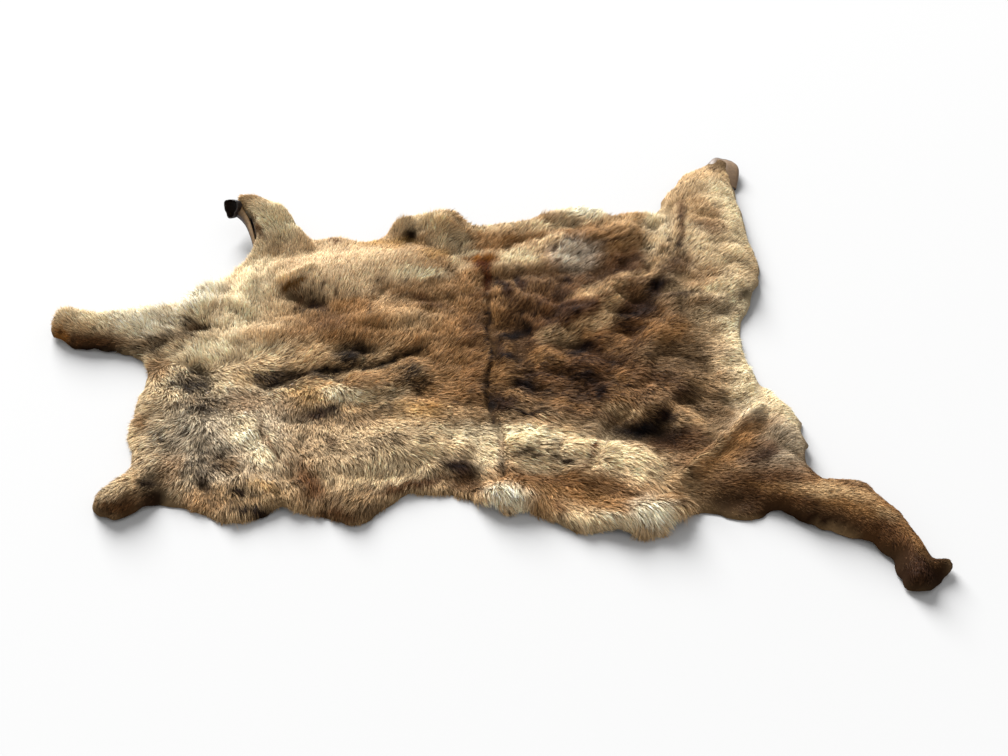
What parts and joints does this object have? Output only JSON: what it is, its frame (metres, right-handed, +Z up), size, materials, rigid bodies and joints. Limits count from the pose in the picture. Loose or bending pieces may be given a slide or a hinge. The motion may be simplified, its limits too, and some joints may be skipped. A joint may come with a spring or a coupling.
{
  "type": "reindeer hide",
  "caption": "Tanned reindeer hide with its fur on, laid fur side up in soft folds, with leg skins and neck strip.",
  "frame": {"origin": "on the ground under the middle of the hide's bounding box", "axes": "+X from the neck towards the rump, +Y from the near side to the far side, +Z up out of the fur"},
  "size_m": [1.7166, 1.3156, 0.0925],
  "materials": {
    "fur": "dense matt fur, mottled tan, cream and dark brown",
    "skin": "undyed tanned skin with a suede nap, dried dark at the leg tips"
  },
  "bodies": {
    "root": {"hide": "fur"}
  },
  "joints": []
}
